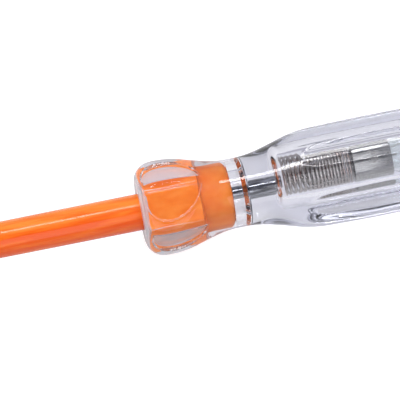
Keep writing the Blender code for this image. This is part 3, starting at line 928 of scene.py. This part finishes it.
def makeTouchCap():
    size = touchCapSizes
    stem, head, edge = size["stemRadius"], size["headRadius"], size["edge"]
    seat, end, root = size["seat"], size["end"], size["stemRadius"] - size["threadDepth"]
    dishFloor = end - size["dishDepth"]
    threadEnd = seat - size["undercut"]
    stations = [(size["stemStart"], stem - edge)]
    threadRings = np.arange(size["stemStart"] + edge, threadEnd - 0.05, size["threadStep"])
    stations += [(along, stem) for along in threadRings]
    stations += [(threadEnd, root), (seat, root), (seat, head - edge)]
    stations += [(seat + size["lipRise"], head - size["lipInset"]), (seat + size["lip"], head)]
    stations += [(along, head) for along in np.arange(seat + 2 * size["lip"], end - edge, size["headStep"])]
    for angle in quarterTurn(6):
        stations.append((end - edge + edge * math.sin(angle), head - edge + edge * math.cos(angle)))
    stations += [
        (end, size["dishRadius"] + size["dishSlope"]),
        (dishFloor, size["dishRadius"] - size["dishSlope"]),
        (dishFloor, size["dishMiddle"]),
    ]
    cap = drawOut("touchCap", stations, 192)
    points = pointsOf(cap)
    along, y, z, radius = splitPoints(points)
    turn = np.arctan2(z, y) / (2 * math.pi)
    # thread: a truncated ridge climbing once a turn
    ridge = np.abs((along / size["pitch"] - turn) % 1 - 0.5) * 2
    furrow = np.clip((ridge - size["threadCrest"]) / size["threadFlank"], 0, 1) * size["threadDepth"]
    threaded = (along > size["stemStart"] + size["threadFrom"]) & (along < threadEnd - 0.02)
    threaded &= radius > stem - 0.1
    # ribs: rounded, and running out towards both edges of the head
    wave = np.abs((turn * size["ribs"]) % 1 - 0.5) * 2
    rib = ease((wave - size["ribFoot"]) / size["ribFlank"]) * size["ribDepth"]
    margin = size["ribMargin"]
    rib *= np.clip((end - margin - along) / size["rearRunOut"], 0, 1)
    rib *= np.clip((along - seat) / size["frontRunOut"], 0, 1)
    ribbed = (along > seat + margin) & (radius > head - 0.45)
    cut = np.where(threaded, furrow, 0) + np.where(ribbed, rib, 0)
    movePoints(cap, scaleAcross(points, y, z, 1 - cut / radius.clip(1)))
    return finishPiece(cap, touchCapLook, "cap", "touch_cap", above=30)


makeTouchCap()
print("touch cap made")

# The tester lies turned a little from the picture's width, seen from 65 degrees above
view = dict(
    azimuth=-12.44, elevation=65.0, distance=0.300, width=0.05857, targetAlong=9.35,
    sensor=36, shift=-0.00025, nearest=0.01,
)


def setCamera():
    azimuth, elevation = math.radians(view["azimuth"]), math.radians(view["elevation"])
    level = math.cos(elevation)
    back = Vector((math.sin(azimuth) * level, -math.cos(azimuth) * level, math.sin(elevation)))
    camera = bpy.data.objects.new("camera", bpy.data.cameras.new("camera"))
    bpy.context.scene.collection.objects.link(camera)
    camera.rotation_mode = "QUATERNION"
    camera.location = place(view["targetAlong"]) + back * view["distance"]
    camera.rotation_quaternion = (-back).to_track_quat("-Z", "Y")
    camera.data.sensor_width = view["sensor"]
    camera.data.lens = view["sensor"] * view["distance"] / view["width"]
    camera.data.shift_y = view["shift"]
    camera.data.clip_start = view["nearest"]
    bpy.context.scene.camera = camera


setCamera()

# Floor: pale paper that also glows where it is seen, straight or through the plastic
floorLook = dict(size=0.8, seen="CECED4", seenThrough="AFAFB3", glow=0.66, glowThrough=0.44)


def makeFloor():
    look = floorLook
    bpy.ops.object.select_all(action="DESELECT")
    bpy.ops.mesh.primitive_plane_add(size=look["size"])
    floor = bpy.context.object
    floor.name = "floor"
    material, tree, _ = startMaterial("pale floor")
    rays = addNode(tree, "ShaderNodeLightPath").outputs
    seen = calculate(tree, "MAXIMUM", rays["Is Camera Ray"], rays["Is Glossy Ray"])
    seen = calculate(tree, "MAXIMUM", seen, rays["Is Transmission Ray"])
    white = ramp(tree, rays["Is Camera Ray"], ((0.0, look["seenThrough"]), (1.0, look["seen"])))
    strength = ranged(tree, rays["Is Camera Ray"], 0.0, 1.0, look["glowThrough"], look["glow"])
    paper = addNode(tree, "ShaderNodeBsdfDiffuse", {"Color": white})
    glow = addNode(tree, "ShaderNodeEmission", {"Color": (1, 1, 1, 1), "Strength": strength})
    both = addNode(tree, "ShaderNodeAddShader", {0: paper.outputs[0], 1: glow.outputs[0]})
    endMaterial(tree, mixShaders(tree, seen, paper, both))
    floor.data.materials.append(material)


# Room: white to the eye and an even fill for matt surfaces; polished and clear ones meet a soft grey room
# with paler ends and one darker patch
roomLook = dict(
    low="BCBAC8", high="CACAD2", ends="DCDCE4", patch="7C7C86", patchAt=(-0.09, -0.41, 0.91), fill=0.71,
)


def makeWorld():
    look = roomLook
    world = bpy.data.worlds.new("soft room")
    bpy.context.scene.world = world
    world.use_nodes = True
    tree = world.node_tree
    tree.nodes.clear()
    direction = addNode(tree, "ShaderNodeTexCoord").outputs["Generated"]
    parts = addNode(tree, "ShaderNodeSeparateXYZ", {"Vector": direction}).outputs
    room = ramp(tree, parts["Z"], ((0.02, look["low"]), (0.5, look["high"])))
    ends = ranged(tree, calculate(tree, "ABSOLUTE", parts["X"]), 0.3, 0.7, 0.0, 1.0)
    room = mixColours(tree, ends, room, colour(look["ends"]))
    inputs = {0: direction, 1: look["patchAt"]}
    toward = addNode(tree, "ShaderNodeVectorMath", inputs, operation="DOT_PRODUCT").outputs["Value"]
    shade = ramp(tree, toward, ((0.85, "FFFFFF"), (0.985, look["patch"])))
    room = mixColours(tree, 1.0, room, shade, "MULTIPLY")
    soft = addNode(tree, "ShaderNodeBackground", {"Color": room, "Strength": 1.0})
    white = addNode(tree, "ShaderNodeBackground", {"Color": (1, 1, 1, 1), "Strength": 1.0})
    fill = addNode(tree, "ShaderNodeBackground", {"Color": (1, 1, 1, 1), "Strength": look["fill"]})
    rays = addNode(tree, "ShaderNodeLightPath").outputs
    lit = mixShaders(tree, rays["Is Diffuse Ray"], soft, fill)
    shown = mixShaders(tree, rays["Is Camera Ray"], lit, white)
    addNode(tree, "ShaderNodeOutputWorld", {"Surface": shown.outputs[0]})


def addLamp(name, spot, size, power):
    # aimed at the middle of the floor
    lamp = bpy.data.lights.new(name, "AREA")
    lamp.shape = "RECTANGLE"
    lamp.size, lamp.size_y = size
    lamp.energy = power
    holder = bpy.data.objects.new(name, lamp)
    bpy.context.scene.collection.objects.link(holder)
    holder.location = spot
    holder.rotation_mode = "QUATERNION"
    holder.rotation_quaternion = (-Vector(spot)).to_track_quat("-Z", "Y")


makeFloor()
makeWorld()
addLamp("strip lamp", (-0.02, 0.17, 0.52), (0.5, 0.08), 1.3)
addLamp("soft fill", (-0.1, -0.38, 0.34), (0.55, 0.4), 0.95)
bpy.context.scene.view_settings.view_transform = "Standard"
print("stage set")
